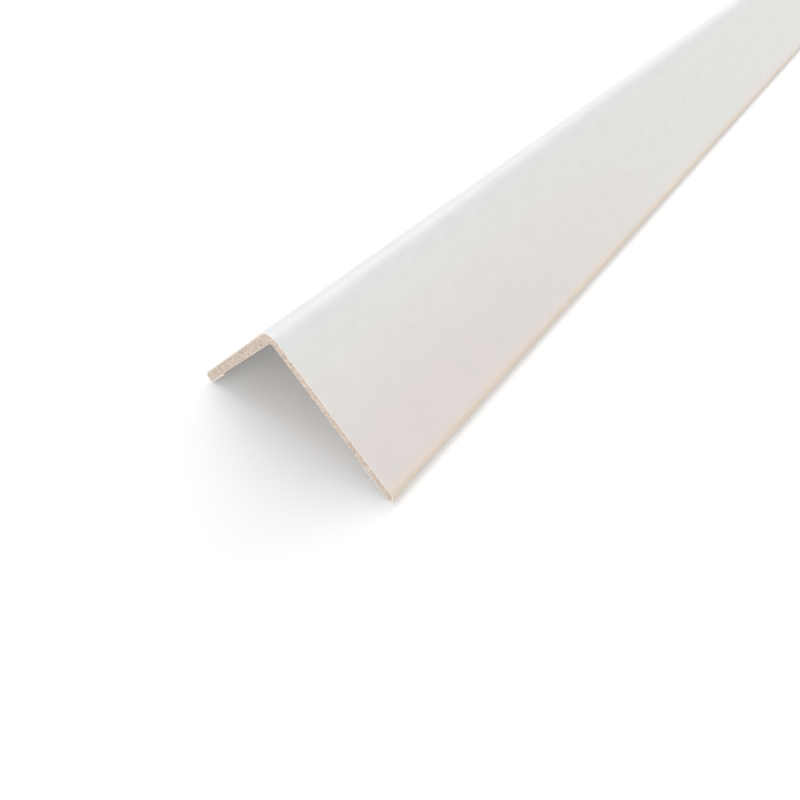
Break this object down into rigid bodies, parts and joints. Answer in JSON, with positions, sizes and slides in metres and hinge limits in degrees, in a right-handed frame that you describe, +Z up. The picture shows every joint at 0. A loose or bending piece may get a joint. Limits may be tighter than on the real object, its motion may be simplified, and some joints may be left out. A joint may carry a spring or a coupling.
{
  "type": "pallet edge protector",
  "caption": "Right-angle laminated paper board with a white wrapped liner, laid over a load's edge under straps or film.",
  "frame": {"origin": "on the ground under the ridge, half-way along the length", "axes": "+Y along the length, +X across from the left leg to the right leg, +Z up through the ridge"},
  "size_m": [0.0686, 0.6, 0.0358],
  "materials": {
    "kraft_board": "grey-brown recycled kraft plies, fibrous where they are cut",
    "white_liner_paper": "smooth white coated paper with a faint satin sheen"
  },
  "bodies": {
    "root": {"kraft_core": "kraft_board", "white_liner": "white_liner_paper"}
  },
  "joints": []
}
